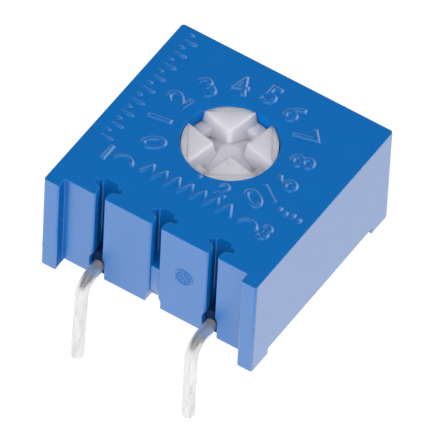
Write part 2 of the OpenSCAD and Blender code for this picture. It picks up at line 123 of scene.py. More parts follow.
class MarkSizes(bpy.types.PropertyGroup):
    stroke_wide: length("Stroke", "Width of a stroke of the marks", 0.19)
    slope_wide: length("Slope", "Width of the slopes at the sides of a stroke", 0.085)
    digit_grow: length("Digit line", "How far a number's outline grows outwards at its foot", 0.06)
    zigzag_long: length("Zigzag", "Length of the resistor sign's zigzag", 4.05)
    zigzag_high: length("Zigzag height", "Height of the zigzag's teeth", 0.56)
    zigzag_back: length("Zigzag place", "Distance of the resistor sign behind the ribs' faces", 2.17)
    tick_long: length("Tick", "Length of the tick between the sign and the rotor", 0.30)
    arc_round: length("Arc radius", "Radius of the arcs at the two ends of the sign", 0.38)
    bar_long: length("Long bar", "Length of the graduation's longer bars", 0.80)
    bar_short: length("Short bar", "Length of the graduation's shorter bars", 0.48)
    bar_in: length("Bar place", "Distance of the graduation from the left side", 0.40)
    bar_pitch: length("Bar spacing", "Spacing of the graduation's bars", 0.36)
    bar_back: length("Graduation's end", "Distance of its last bar from the back", 0.34)
    digit_high: length("Dial digit", "Height of the dial's numbers", 0.95)
    digit_at: length("Dial radius", "Radius of the ring of numbers, at their middle", 2.88)
    small_digit: length("Terminal digit", "Height of the terminals' numbers", 0.76)
    roundel_wide: length("Roundel", "Diameter of the round mark on the third rib", 0.84)
    bar_count: IntProperty(name="Bars", description="Bars in the graduation", default=18, min=2)
    teeth: IntProperty(name="Teeth", description="Teeth in the zigzag", default=7, min=2)
    last_number: IntProperty(name="Last number", description="Highest number on the dial", default=10, min=1)


class RotorSizes(bpy.types.PropertyGroup):
    wide: length("Face", "Diameter of the rotor's face", 3.72)
    flange_wide: length("Flange", "Diameter of the flange inside the housing", 6.30)
    flange_thick: length("Flange thickness", "Thickness of the flange", 0.75)
    gap: length("Running gap", "Clearance round the rotor's face", 0.035)
    lug_gap: length("Lug gap", "Clearance round the stop lug", 0.06)
    slot_wide: length("Slot width", "Width of the four arms of the cross slot at the face", 0.83)
    rim_deep: length("Rim depth", "Depth of the arms at the rim", 0.50)
    mid_deep: length("Middle depth", "Depth of the slot in the middle", 0.60)
    mid_wide: length("Middle width", "Diameter inside which the slot is deeper than at the rim", 2.60)
    pit_deep: length("Pit depth", "Depth of the slot at the foot of the rim steps", 0.95)
    pit_in: length("Pit start", "Distance from the axis at which the slot's floor starts to fall", 0.45)
    draft: FloatProperty(name="Draft", description="Slope of the slot's sides, as width for height", default=0.17)
    edge_soft: length("Edge softness", "Radius of the slot's upper edges", 0.08)
    rim_soft: length("Rim softness", "Radius of the rotor's other edges", 0.03)
    corner_soft: length("Inner corners", "Radius of the four corners that face the middle", 0.16)


class LeadSizes(bpy.types.PropertyGroup):
    thick: length("Wire", "Diameter of the leads", 0.51)
    pitch: length("Pitch", "Distance of each front lead from the middle, side to side", 2.54)
    row: length("Row spacing", "Distance of the front leads in front of the middle lead", 5.08)
    run_high: length("Run height", "Height of the front leads' level run", 0.72)
    bend: length("Bend", "Radius of the outer bends, at the wire's middle line", 0.66)
    bend_in: length("Inner bend", "Radius of the bends under the plate", 0.38)
    tip_cut: length("Tip cut", "Slope on the leads' tips", 0.06)
    lean_top: length("Lean at the bend", "How far lead 1 stays behind lead 3 at its bend", 0.20)
    lean_tip: length("Lean at the tip", "How far lead 1 stays behind lead 3 at its tip", 0.06)
    head_wide: length("Nail head", "Diameter of the nail heads", 0.74)
    head_thick: length("Nail head thickness", "Thickness of the nail heads", 0.12)
    pocket_wide: length("Pocket", "Diameter of the housing's pockets over the nail heads", 1.04)


class Finishes(bpy.types.PropertyGroup):
    blue: colour("Housing", "Moulded blue thermoplastic", (0.001, 0.140, 0.460))
    off_white: colour("Rotor", "Moulded off-white thermoplastic", (0.592, 0.580, 0.638))
    tin: colour("Leads", "Tin plated copper", (0.800, 0.795, 0.805))
    solder: colour("Solder", "Reflowed solder", (0.55, 0.56, 0.58))
    epoxy: colour("Potting", "Cured epoxy", (0.004, 0.018, 0.070))
    silicone: colour("Seal ring", "Silicone rubber", (0.30, 0.05, 0.03))
    spring: colour("Wiper", "Rolled spring alloy", (0.72, 0.60, 0.35))
    alumina: colour("Plate", "Fired alumina", (0.85, 0.85, 0.80))
    cermet: colour("Track", "Fired resistive film", (0.030, 0.028, 0.026))
    silver: colour("Conductors", "Fired silver film", (0.60, 0.59, 0.56))
    floor: colour("Floor", "Pale floor", (0.76, 0.76, 0.76))


class StageSettings(bpy.types.PropertyGroup):
    lamps: FloatProperty(name="Lamps", description="Power of the three soft lamps together", default=7.45,
                       unit="POWER", min=0.0)
    back: FloatProperty(name="Back lamp", description="Power of the lamp behind, whose gloss shows the marks",
                        default=2.5, unit="POWER", min=0.0)
    horizon: FloatProperty(name="Horizon", description="Light of the white surroundings near the floor",
                           default=1.0, min=0.0)
    zenith: FloatProperty(name="Zenith", description="Light of the dark surroundings overhead, in a gloss",
                          default=0.02, min=0.0)
    sky: FloatProperty(name="Soft light", description="Soft light from all round", default=0.06, min=0.0)


# ---------------------------------------------------------------- modelling helpers

NEAR = 1e-3                  # places closer than this are one place
PAST = 1                     # how far a cutting tool reaches past what it cuts
SHARP = math.radians(40)     # edges sharper than this are rounded


def mm(value):
    """A property in metres as a number of millimetres."""
    return value / MM


def held(group):
    """The sizes or settings of a group."""
    return getattr(bpy.context.scene, "trimmer_" + group)


def ribs_y():
    """Where the faces of the front ribs stand, front to back."""
    return HOUSING_LOW.y + mm(held("body").post_proud)


def set_all(target, **settings):
    for name, value in settings.items():
        setattr(target, name, value)


def object_mode():
    bpy.ops.object.mode_set(mode="OBJECT")


def deselect():
    if bpy.context.object and bpy.context.object.mode != "OBJECT":
        object_mode()
    bpy.ops.object.select_all(action="DESELECT")


def activate(obj):
    deselect()
    obj.select_set(True)
    bpy.context.view_layer.objects.active = obj


def apply_place(obj):
    """Puts an object's place, turn and scale into its mesh."""
    activate(obj)
    bpy.ops.object.transform_apply(location=True, rotation=True, scale=True)
    return obj


def added(primitive, **settings):
    """A new primitive with its place in its mesh."""
    deselect()
    primitive(**settings)
    return apply_place(bpy.context.object)


def copied(obj, move):
    """A moved copy with its own mesh."""
    activate(obj)
    bpy.ops.object.duplicate()
    bpy.context.object.location = move
    return apply_place(bpy.context.object)


def block(low, high):
    """A cuboid between two corners."""
    low, high = Vector(low), Vector(high)
    return added(bpy.ops.mesh.primitive_cube_add, size=1, location=(low + high) / 2, scale=high - low)


def drum(radius, low, high, at=(0, 0), sides=96, along="Z"):
    """A round bar along Z, or along Y with low and high as Y and at as (x, z)."""
    middle = (low + high) / 2
    place = (at[0], at[1], middle) if along == "Z" else (at[0], middle, at[1])
    turn = (0, 0, 0) if along == "Z" else (math.pi / 2, 0, 0)
    return added(bpy.ops.mesh.primitive_cylinder_add, vertices=sides, radius=radius, depth=high - low,
                 location=place, rotation=turn)


def dent(radius, place):
    """A round tool for a small nick."""
    return added(bpy.ops.mesh.primitive_ico_sphere_add, subdivisions=2, radius=radius, location=place)


def modify(obj, kind, **settings):
    """Gives an object a modifier and applies it."""
    activate(obj)
    step = obj.modifiers.new(kind.lower(), kind)
    set_all(step, **settings)
    bpy.ops.object.modifier_apply(modifier=step.name)
    return obj


def combine(obj, tool, operation="DIFFERENCE"):
    modify(obj, "BOOLEAN", object=tool, operation=operation, solver="EXACT")
    bpy.data.objects.remove(tool, do_unlink=True)
    return obj


def cut(obj, *tools):
    for tool in tools:
        combine(obj, tool)
    return obj


def edit(obj, kind, action="DESELECT"):
    """Edit mode with nothing selected, or with all."""
    activate(obj)
    bpy.ops.object.mode_set(mode="EDIT")
    bpy.ops.mesh.select_mode(type=kind)
    bpy.ops.mesh.select_all(action=action)


def choose(obj, kind, test):
    """Edit mode with the vertices, edges or faces selected that pass a test."""
    edit(obj, kind)
    object_mode()
    mesh = obj.data
    for part in {"VERT": mesh.vertices, "EDGE": mesh.edges, "FACE": mesh.polygons}[kind]:
        part.select = test(part)
    bpy.ops.object.mode_set(mode="EDIT")


def select_edges(obj, test):
    """Edit mode with the edges selected whose two ends pass a test."""
    choose(obj, "EDGE", lambda edge: test(*(obj.data.vertices[i].co for i in edge.vertices)))


def select_faces(obj, test):
    """Edit mode with the faces selected whose centre and normal pass a test."""
    choose(obj, "FACE", lambda face: test(face.center, face.normal))


def slice_mesh(obj, place, normal):
    """Splits the faces that a plane crosses."""
    edit(obj, "FACE", "SELECT")
    bpy.ops.mesh.bisect(plane_co=place, plane_no=normal)
    object_mode()


def extrude_faces(obj, test, move):
    select_faces(obj, test)
    bpy.ops.mesh.extrude_region_move(TRANSFORM_OT_translate={"value": move})
    object_mode()


def dissolve_flat(obj):
    """Joins the faces that lie in one plane."""
    edit(obj, "FACE", "SELECT")
    bpy.ops.mesh.dissolve_limited(angle_limit=math.radians(0.5))
    object_mode()


def merge(obj, distance=1e-4):
    """Merges points that lie together, and turns the faces outwards."""
    edit(obj, "VERT", "SELECT")
    bpy.ops.mesh.remove_doubles(threshold=distance)
    bpy.ops.mesh.normals_make_consistent(inside=False)
    object_mode()
    return obj


def upright(a, b):
    return abs(a.x - b.x) < 1e-4 and abs(a.y - b.y) < 1e-4 and abs(a.z - b.z) > NEAR


def round_edges(obj, test, radius, segments):
    """Rounds the edges whose two ends pass a test."""
    select_edges(obj, test)
    bpy.ops.mesh.bevel(offset=radius, segments=segments, profile=0.5, affect="EDGES", clamp_overlap=True)
    object_mode()
    return obj


def soften(obj, radius, segments=2, mitre="MITER_ARC", by="ANGLE"):
    """Rounds every sharp edge, or each edge by its own weight."""
    return modify(obj, "BEVEL", width=radius, segments=segments, limit_method=by, angle_limit=SHARP,
                  use_clamp_overlap=False, miter_outer=mitre)


def join(name, pieces):
    deselect()
    for piece in pieces:
        piece.select_set(True)
    bpy.context.view_layer.objects.active = pieces[0]
    bpy.ops.object.join()
    bpy.context.object.name = name
    return bpy.context.object


def finish_piece(obj, name, material, body, replaced=(), smooth=35):
    """Brings a piece to metres, and gives it its shading, material and body."""
    obj.name = name
    obj.data.name = name
    obj.data.materials.clear()
    obj.data.materials.append(finishes()[material])
    obj.scale = (MM, MM, MM)
    apply_place(obj)
    bpy.ops.object.shade_smooth_by_angle(angle=math.radians(smooth))
    modify(obj, "WEIGHTED_NORMAL", keep_sharp=True, weight=50)
    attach(obj, body)
    if replaced:
        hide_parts(*replaced)


def second_finish(obj, material, test):
    """Gives the faces whose centre, in millimetres, and normal pass a test a second finish."""
    obj.data.materials.append(finishes()[material])
    for face in obj.data.polygons:
        if test(face.center / MM, face.normal):
            face.material_index = len(obj.data.materials) - 1


# ---------------------------------------------------------------- materials

SLOT_PAINTED_LIGHT, RECESS_PAINTED_SHADE = 1.12, 0.76     # painted light and painted shade: the blue of the slots' walls painted lighter and of their depths painted darker, as shares


def put(owner, node, inputs):
    """Fills a node's sockets with values, or links them to the outputs of other nodes."""
    for socket, value in inputs.items():
        if isinstance(value, bpy.types.NodeSocket):
            owner.node_tree.links.new(value, node.inputs[socket])
        else:
            node.inputs[socket].default_value = value


def add_node(owner, kind, inputs=None, **settings):
    """A new node of a material or a world, with its settings made and its sockets filled."""
    node = owner.node_tree.nodes.new("ShaderNode" + kind)
    set_all(node, **settings)
    put(owner, node, inputs or {})
    return node


def new_material(name):
    material = bpy.data.materials.new(name)
    material.use_nodes = True
    material.node_tree.nodes.clear()
    return material


def principled(name):
    """A new material and its principled shader."""
    material = new_material(name)
    shader = add_node(material, "BsdfPrincipled")
    add_node(material, "OutputMaterial", {"Surface": shader.outputs["BSDF"]})
    return material, shader


def place_node(material, stretch=(1, 1, 1)):
    """Object coordinates, stretched along an axis where a grain runs."""
    where = add_node(material, "TexCoord").outputs["Object"]
    return add_node(material, "Mapping", {"Scale": stretch, "Vector": where}).outputs["Vector"]


def noise(material, place, size, detail=3.0, rough=0.55):
    """Noise whose blotches are about a size in millimetres."""
    return add_node(material, "TexNoise", {"Scale": 1 / (size * MM), "Detail": detail, "Roughness": rough,
                                           "Vector": place}).outputs["Fac"]


def spread(material, value, low, high, from_low=0.3, from_high=0.7):
    """A noise's middle range spread between two values."""
    return add_node(material, "MapRange", {"From Min": from_low, "From Max": from_high, "To Min": low,
                                           "To Max": high, "Value": value}).outputs["Result"]


def two_tones(material, factor, tone, low, high):
    """A colour that goes from one share of a tone to another."""
    node = add_node(material, "Mix", {"Factor": factor}, data_type="RGBA")
    sockets = [s for s in node.inputs if s.type == "RGBA"]
    for socket, share in zip(sockets, (low, high)):
        socket.default_value = (*shade_of(tone, share), 1)
    return [s for s in node.outputs if s.type == "RGBA"][0]


def bump(material, shader, heights):
    """Bump from (height, strength, depth in millimetres) in turn."""
    normal = {}
    for height, strength, depth in heights:
        node = add_node(material, "Bump", {"Strength": strength, "Distance": depth * MM, "Height": height,
                                           **normal})
        normal = {"Normal": node.outputs["Normal"]}
    put(material, shader, normal)


def shade_of(tone, share):
    return tuple(min(1.0, c * share) for c in tone)


def moulded_plastic(name, tone, rough, ior, mottle, coat=0.0, grain=0.0012, milky=0.0, specular=0.5):
    """A moulded thermoplastic: faint flow mottling, fine skin texture and uneven gloss."""
    material, shader = principled(name)
    place = place_node(material)
    flow = noise(material, place_node(material, (1.0, 1.0, 0.35)), size=1.7, detail=4.0)
    skin = noise(material, place, size=0.055, detail=2.0, rough=0.6)
    cloud = noise(material, place, size=0.6)
    put(material, shader, {
        "Base Color": two_tones(material, spread(material, flow, 0.0, 1.0), tone, 1 - mottle, 1 + mottle),
        "Roughness": spread(material, cloud, rough - 0.02, rough + 0.05),
        "IOR": ior, "Specular IOR Level": specular, "Coat Weight": coat, "Coat Roughness": 0.28})
    if milky:
        put(material, shader, {"Subsurface Weight": milky, "Subsurface Radius": (1.0, 0.9, 0.9),
                               "Subsurface Scale": 1.3 * MM})
    bump(material, shader, [(skin, 0.18, grain), (flow, 0.15, grain * 2)])


def plated_metal(name, tone, rough, along, dull=0.75, metallic=1.0):
    """Drawn or plated metal: streaks along the grain, small pits and dull patches."""
    material, shader = principled(name)
    streak = noise(material, place_node(material, along), size=0.10, detail=4.0)
    pit = noise(material, place_node(material), size=0.035, detail=2.0)
    put(material, shader, {
        "Base Color": two_tones(material, spread(material, streak, 0.0, 1.0, 0.35, 0.6), tone, dull, 1),
        "Roughness": spread(material, streak, rough - 0.06, rough + 0.12), "Metallic": metallic})
    bump(material, shader, [(streak, 0.9, 0.03), (pit, 0.25, 0.0015)])


def matte_film(name, tone, rough, grain_size, metallic=0.0):
    """A fired or printed film, or a rubber: grainy, with specks of a darker tone."""
    material, shader = principled(name)
    place = place_node(material)
    speck = noise(material, place, grain_size, rough=0.7)
    cloud = noise(material, place, grain_size * 8)
    put(material, shader, {
        "Base Color": two_tones(material, spread(material, speck, 0.0, 1.0), tone, 0.85, 1.08),
        "Roughness": spread(material, cloud, rough - 0.06, rough + 0.06), "Metallic": metallic})
    bump(material, shader, [(speck, 0.4, grain_size * 0.06)])


def finishes():
    """All the materials by name. The object's are made at the first call."""
    tones = held("finishes")
    if "moulded blue" not in bpy.data.materials:
        moulded_plastic("moulded blue", tones.blue, 0.30, 1.62, mottle=0.03, coat=1.0)
        # rougher, matte copies of the blue: one painted lighter for the walls (painted light), one painted darker
        # for the recesses (painted shade)
        for name, share in (("walls with painted light", SLOT_PAINTED_LIGHT), ("recesses with painted shade", RECESS_PAINTED_SHADE)):
            moulded_plastic("moulded blue, " + name, shade_of(tones.blue, share), 0.60, 1.40, mottle=0.04,
                            specular=0.15)
        moulded_plastic("moulded off white", tones.off_white, 0.42, 1.48, mottle=0.02, milky=1.0)
        moulded_plastic("cured epoxy", tones.epoxy, 0.55, 1.45, mottle=0.25, grain=0.004, specular=0.10)
        plated_metal("tin plate", tones.tin, 0.28, (1, 0.1, 0.1), dull=0.82, metallic=0.75)
        plated_metal("reflowed solder", tones.solder, 0.34, (1, 1, 1))
        plated_metal("rolled spring alloy", tones.spring, 0.26, (0.15, 1, 1))
        matte_film("silicone rubber", tones.silicone, 0.55, 0.03)
        matte_film("fired alumina", tones.alumina, 0.62, 0.025)
        matte_film("fired resistive film", tones.cermet, 0.48, 0.02)
        matte_film("fired silver film", tones.silver, 0.38, 0.02, 0.9)
    return bpy.data.materials


# ---------------------------------------------------------------- housing

LUG_TURN = 20                # degrees that the rotor's stop lug takes up
HOLE_IN = 0.5                # distance of the front leads' holes from the plate's front edge
OVERLAP = 0.05               # overlap of two cuts that meet
PLATE_GAP = 0.05             # room over the plate in the hollow


def slot_cutters(x, low, high, sizes, flare_low=None):
    """Two tools for a slot open to the front and the top.

    One is a narrow mouth with two arms behind its swelling lips and a groove, the other rounds its mouth
    and may run on down below the slot's floor.
    """
    face = ribs_y()
    mouth, groove = mm(sizes.mouth_wide) / 2, mm(sizes.groove_wide) / 2
    arm, lip = mm(sizes.arm_wide) / 2, mm(sizes.lip_deep)
    arm_deep, groove_deep = mm(sizes.arm_deep), mm(sizes.groove_deep)
    cutter = block((x - arm, face + lip, low), (x + arm, face + lip + arm_deep, high))
    for side in (-1, 1):
        for half in (mouth, groove):
            slice_mesh(cutter, (x + side * half, 0, 0), (1, 0, 0))
    extrude_faces(cutter, lambda c, n: n.y < -0.9 and abs(c.x - x) < mouth, (0, -lip - PAST, 0))
    extrude_faces(cutter, lambda c, n: n.y > 0.9 and abs(c.x - x) < groove, (0, groove_deep, 0))
    merge(cutter)
    dissolve_flat(cutter)
    behind, arm_round = lip + arm_deep, 0.10
    for across, back, radius, segments in ((mouth, lip, mm(sizes.lip_swell), 6), (arm, behind, arm_round, 4),
                                           (arm, lip, arm_round, 4), (groove, behind, 0.05, 3),
                                           (groove, behind + groove_deep, 0.09, 3)):
        round_edges(cutter, lambda a, b: upright(a, b) and abs(abs(a.x - x) - across) < NEAR
                    and abs(a.y - face - back) < NEAR, radius, segments)
    soft, tiny = mm(sizes.lip_round), 0.004
    foot = flare_low or low + tiny
    flare = block((x - mouth - soft, face - 0.5, foot), (x + mouth + soft, face + soft + 0.02, high + 0.1))
    for side in (-1, 1):
        cut(flare, drum(soft + 0.006, foot - PAST, high + PAST, (x + side * (mouth + soft), face + soft),
                        sides=32))
    return cutter, flare


def arch_cutter(x, height, deep, sizes):
    """An upright arch with a half-round top, open below and to the front."""
    radius = mm(sizes.notch_wide) / 2
    foot, face = mm(sizes.standoff), ribs_y()
    crown = foot + height - radius
    arch = drum(radius, face - PAST, face + deep, (x, crown), sides=48, along="Y")
    return combine(arch, block((x - radius, face - PAST, foot - PAST), (x + radius, face + deep, crown)),
                   "UNION")


def ring_part(radius_in, radius_out, low, high, middle, turn):
    """A part of a ring about the rotor's axis, spun from its section."""
    part = added(bpy.ops.mesh.primitive_plane_add, size=1,
                 location=((radius_in + radius_out) / 2, 0, (low + high) / 2), rotation=(math.pi / 2, 0, 0),
                 scale=(radius_out - radius_in, high - low, 1))
    edit(part, "EDGE", "SELECT")
    bpy.ops.mesh.delete(type="ONLY_FACE")
    bpy.ops.mesh.select_all(action="SELECT")
    bpy.ops.mesh.spin(steps=24, angle=-math.radians(turn), center=(0, 0, 0), axis=(0, 0, 1))
    bpy.ops.mesh.select_all(action="DESELECT")
    bpy.ops.mesh.select_non_manifold()
    bpy.ops.mesh.fill_holes(sides=4)
    object_mode()
    merge(part)
    part.rotation_euler.z = math.radians(middle) - math.radians(turn) / 2
    part.location = (0, AXIS_Y, 0)
    return apply_place(part)


def outer_form(sizes, top):
    """The moulding's outside in one mesh: block, posts and feet, with rounded uprights and sloped feet."""
    foot, proud = mm(sizes.standoff), mm(sizes.post_proud)
    near, far, half = HOUSING_LOW.y, HOUSING_HIGH.y, HOUSING_HIGH.x
    inner, pad = half - mm(sizes.post_wide), mm(sizes.foot_long)
    body = block((-half, ribs_y(), foot), (half, far, top))
    for side in (-1, 1):
        slice_mesh(body, (side * inner, 0, 0), (1, 0, 0))
    extrude_faces(body, lambda c, n: n.y < -0.9 and abs(c.x) > inner, (0, -proud, 0))
    for y in (near + pad, far - pad):
        slice_mesh(body, (0, y, 0), (0, 1, 0))
    extrude_faces(body, lambda c, n: n.z < -0.9 and abs(c.x) > inner
                  and (c.y < near + pad or c.y > far - pad), (0, 0, -foot))
    merge(body)
    dissolve_flat(body)
    outer, corner = 0.75 * mm(sizes.corner_round), mm(sizes.corner_round)
    for radius, segments, test in ((outer, 6, lambda p: p.y < near + NEAR and abs(p.x) > half - NEAR),
                                   (corner, 5, lambda p: p.y > far - NEAR and abs(p.x) > half - NEAR),
                                   (0.085, 4, lambda p: p.y < near + NEAR and abs(abs(p.x) - inner) < NEAR)):
        round_edges(body, lambda a, b: upright(a, b) and test(a), radius, segments)
    select_edges(body, lambda a, b: max(a.z, b.z) < NEAR and abs(abs(a.x) - inner) < NEAR
                 and abs(a.x - b.x) < NEAR and abs(a.y - b.y) > 0.3)
    bpy.ops.mesh.bevel(offset=mm(sizes.foot_slope), segments=1, affect="EDGES")
    object_mode()
    return body


def build_housing(sizes):
    """The moulding with its slots, notches, hollow, pockets, well with stop block and rotor hole."""
    leads, rotor = held("leads"), held("rotor")
    foot, half, face = mm(sizes.standoff), HOUSING_HIGH.x, ribs_y()
    top = HOUSING_HIGH.z - mm(sizes.marks_high)
    body = outer_form(sizes, top)
    notch_high, front_wall = mm(sizes.notch_high), mm(sizes.front_wall)
    for side in (-1, 1):
        x = side * mm(leads.pitch)
        cut(body, *slot_cutters(x, foot + notch_high - mm(sizes.notch_wide) / 2, top + PAST, sizes))
        cut(body, arch_cutter(x, notch_high, front_wall + OVERLAP, sizes))
    cut(body, *slot_cutters(0, foot + mm(sizes.middle_floor), top + PAST, sizes,
                            foot + mm(sizes.blind_high) / 2))
    cut(body, arch_cutter(0, mm(sizes.blind_high), mm(sizes.blind_deep), sizes))
    side_wall, seat = mm(sizes.side_wall), PLATE_HIGH.z + PLATE_GAP
    cut(body, block((side_wall - half, face + front_wall, foot - PAST),
                    (half - side_wall, HOUSING_HIGH.y - mm(sizes.back_wall), seat)))
    roof, plate = top - mm(sizes.roof_thick), top - mm(sizes.plate_thick)
    axis, pocket_high = (0, AXIS_Y), 0.24
    for side in (-1, 1):
        cut(body, drum(mm(leads.pocket_wide) / 2, seat - OVERLAP, PLATE_HIGH.z + pocket_high,
                       (side * mm(leads.pitch), PLATE_LOW.y + HOLE_IN), sides=48))
    well_r = mm(sizes.well_wide) / 2
    well = drum(well_r, seat - OVERLAP, roof, axis, sides=128)
    travel, slack = frame["joints"][0]["range_deg"], 0.4
    stop = 360 - (travel[1] - travel[0]) - LUG_TURN - slack
    cut(well, ring_part(mm(rotor.flange_wide) / 2 + mm(rotor.lug_gap), well_r + PAST, ROTOR_LOW.z - PAST,
                        roof + PAST, middle=270, turn=stop))
    cut(body, well)
    hole, groove = mm(rotor.wide) / 2 + mm(rotor.gap), 0.495
    cut(body, drum(hole + groove, roof - OVERLAP, plate, axis, sides=128))
    cut(body, drum(hole, plate - OVERLAP, top + PAST, axis, sides=160))
    return body


class TRIMMER_OT_housing(bpy.types.Operator):
    """Build the moulded housing: ribs, posts, feet, front slots, lead notches and the hollow inside"""
    bl_idname = "trimmer.housing"
    bl_label = "Housing"

    def execute(self, context):
        sizes, rotor = held("body"), held("rotor")
        body = build_housing(sizes)
        merge(body, distance=0.009)
        dissolve_flat(body)
        soften(body, mm(sizes.edge_soft))
        merge(body, distance=0.0005)
        side, near = HOUSING_LOW.x, HOUSING_LOW.y
        wall = side + mm(sizes.post_wide)
        nicks = ((0.055, (wall + 0.02, near + 0.29, 2.60)), (0.045, (wall - 0.03, near + 0.01, 2.24)),
                 (0.045, (side + 0.08, near + 0.03, 1.13)))
        cut(body, *(dent(radius, place) for radius, place in nicks))
        finish_piece(body, "housing_shell", "moulded blue", "body", ["housing"])
        face, slots_end, hole_deep, blind_half = ribs_y(), ribs_y() + 1.3, 0.7, 0.4
        reach, inner = mm(sizes.arm_wide) / 2 + 0.02, HOUSING_HIGH.x - mm(sizes.post_wide)
        slots = [side * mm(held("leads").pitch) for side in (-1, 0, 1)]
        level = HOUSING_HIGH.z - mm(sizes.marks_high) - 0.02
        hole = mm(rotor.wide) / 2 + mm(rotor.gap) + 0.02
        lip = face + mm(sizes.lip_deep)
        groove = lip + mm(sizes.arm_deep)

        def inside(c, n):
            """The walls of the slots, of the posts beside the ribs and of the rotor's hole, where the blue is
            painted lighter: painted light.
            """
            in_slot = min(abs(c.x - x) for x in slots) < reach and face + 0.06 < c.y < slots_end
            ridge_line = abs(c.y - groove) < 0.06 and n.x > 0.25 and n.y < -0.25
            low_recess = abs(c.x) < blind_half and c.z < mm(sizes.middle_floor) + mm(sizes.standoff) - 0.02
            by_post = c.y < face + 0.02 and abs(abs(c.x) - inner) < 0.02 and abs(n.x) > 0.95
            in_hole = (c.x ** 2 + (c.y - AXIS_Y) ** 2) ** 0.5 < hole and abs(n.z) < 0.5 and c.z > level - hole_deep
            return in_slot and c.z < level and not low_recess and not ridge_line or by_post or in_hole

        def recessed(c, n):
            """The slots' back walls, behind their lips, and their floors, where the blue is painted darker:
            painted shade.
            """
            return inside(c, n) and c.y < slots_end and (c.y > lip + 0.02 and n.y < -0.3 or n.z > 0.5)
        # painted light on the walls and painted shade in the recesses, in rougher copies of the blue
        second_finish(body, "moulded blue, walls with painted light", inside)
        second_finish(body, "moulded blue, recesses with painted shade", recessed)
        return {"FINISHED"}


# ---------------------------------------------------------------- raised marks

MARK_SMOOTH = 28             # degrees, below the steepness of the marks' slopes, so that they stay crisp


def ridge(points, wide):
    """A raised stroke along a line: a chain of edges drawn up to a wall, thickened, sloped and pressed flat."""
    high, slope = mm(held("body").marks_high), mm(held("marks").slope_wide)
    line = added(bpy.ops.mesh.primitive_plane_add, size=0.01)
    edit(line, "VERT", "SELECT")
    bpy.ops.mesh.merge(type="CENTER")
    bpy.ops.transform.translate(value=(*points[0], -2 * slope))
    for last, point in zip(points, points[1:]):
        step = (point[0] - last[0], point[1] - last[1], 0)
        bpy.ops.mesh.extrude_vertices_move(TRANSFORM_OT_translate={"value": step})
    bpy.ops.mesh.select_all(action="SELECT")
    bpy.ops.mesh.extrude_region_move(TRANSFORM_OT_translate={"value": (0, 0, 2 * slope)})
    object_mode()
    modify(line, "SOLIDIFY", thickness=wide, offset=0, use_even_offset=True)
    soften(merge(line), slope, segments=1, mitre="MITER_SHARP")
    line.scale.z = high / slope
    line.location.z = HOUSING_HIGH.z
    return apply_place(line)


def on_ring(radius, degrees, centre=(0, 0)):
    """A point on a circle."""
    turn = math.radians(degrees)
    return centre[0] + radius * math.cos(turn), centre[1] + radius * math.sin(turn)


def numeral(text, height, place, turn):
    """A raised numeral with sloping sides, lying on the top."""
    high, slope = mm(held("body").marks_high), mm(held("marks").slope_wide)
    em = 1.38                # type size for a numeral one unit high
    deselect()
    bpy.ops.object.text_add()
    set_all(bpy.context.object.data, body=text, align_x="CENTER", size=height * em, resolution_u=5,
            offset=mm(held("marks").digit_grow) - slope, bevel_depth=slope, bevel_resolution=0,
            extrude=slope / 2)
    bpy.ops.object.convert(target="MESH")
    sign = bpy.context.object
    spans = [[v.co[axis] for v in sign.data.vertices] for axis in (0, 1)]
    sign.location = (*(-(min(span) + max(span)) / 2 for span in spans), 0)
    apply_place(sign)
    sign.rotation_euler.z = math.radians(turn)
    sign.scale.z = high / slope
    sign.location = (*place, HOUSING_HIGH.z - 1.5 * high)
    return merge(apply_place(sign))


def finish_marks(name, pieces):
    finish_piece(join(name, pieces), name, "moulded blue", "body", smooth=MARK_SMOOTH)


class TRIMMER_OT_resistor_sign(bpy.types.Operator):
    """Raise the resistor sign in front of the rotor: a zigzag, two arcs and a tick"""
    bl_idname = "trimmer.resistor_sign"
    bl_label = "Resistor sign"

    def execute(self, context):
        marks = held("marks")
        wide, long, high = mm(marks.stroke_wide), mm(marks.zigzag_long), mm(marks.zigzag_high)
        y, radius, parts = ribs_y() + mm(marks.zigzag_back), mm(marks.arc_round), 12
        step = long / (2 * marks.teeth)
        teeth = [(i * step - long / 2, y + (-1 if i % 2 == 0 else 1) * high / 2)
                 for i in range(2 * marks.teeth + 1)]
        tick = y + high / 2 + 2 * wide
        pieces = [ridge(teeth, wide), ridge([(0, tick), (0, tick + mm(marks.tick_long))], wide)]
        for side in (-1, 1):
            centre = (side * (long / 2 + radius + 2 * wide), y - high / 2)
            pieces.append(ridge([on_ring(radius, 180 * i / parts, centre) for i in range(parts + 1)], wide))
        finish_marks("resistor_sign", pieces)
        return {"FINISHED"}


class TRIMMER_OT_graduation(bpy.types.Operator):
    """Raise the graduation down the left side, one short and one long bar copied along it, and four bars"""
    bl_idname = "trimmer.graduation"
    bl_label = "Graduation"

    def execute(self, context):
        marks = held("marks")
        wide, start, pitch = mm(marks.stroke_wide), mm(marks.bar_in) + HOUSING_LOW.x, mm(marks.bar_pitch)
        first = HOUSING_HIGH.y - mm(marks.bar_back) - (marks.bar_count - 1) * pitch
        pieces = []
        for kind, long in enumerate((mm(marks.bar_long), mm(marks.bar_short))):
            y = first + kind * pitch
            bar = ridge([(start + wide / 2, y), (start + long - wide / 2, y)], wide)
            pieces.append(bar)
            pieces += [copied(bar, (0, (i - kind) * pitch, 0)) for i in range(kind + 2, marks.bar_count, 2)]
        side_in, side_pitch, low, high, stagger = 0.50, 0.30, 1.98, 1.62, 0.08
        for i in range(4):
            x, shift = HOUSING_HIGH.x - side_in - side_pitch * i, stagger * (i % 2)
            pieces.append(ridge([(x, AXIS_Y - low + shift), (x, AXIS_Y - high + shift)], wide))
        finish_marks("graduation", pieces)
        return {"FINISHED"}


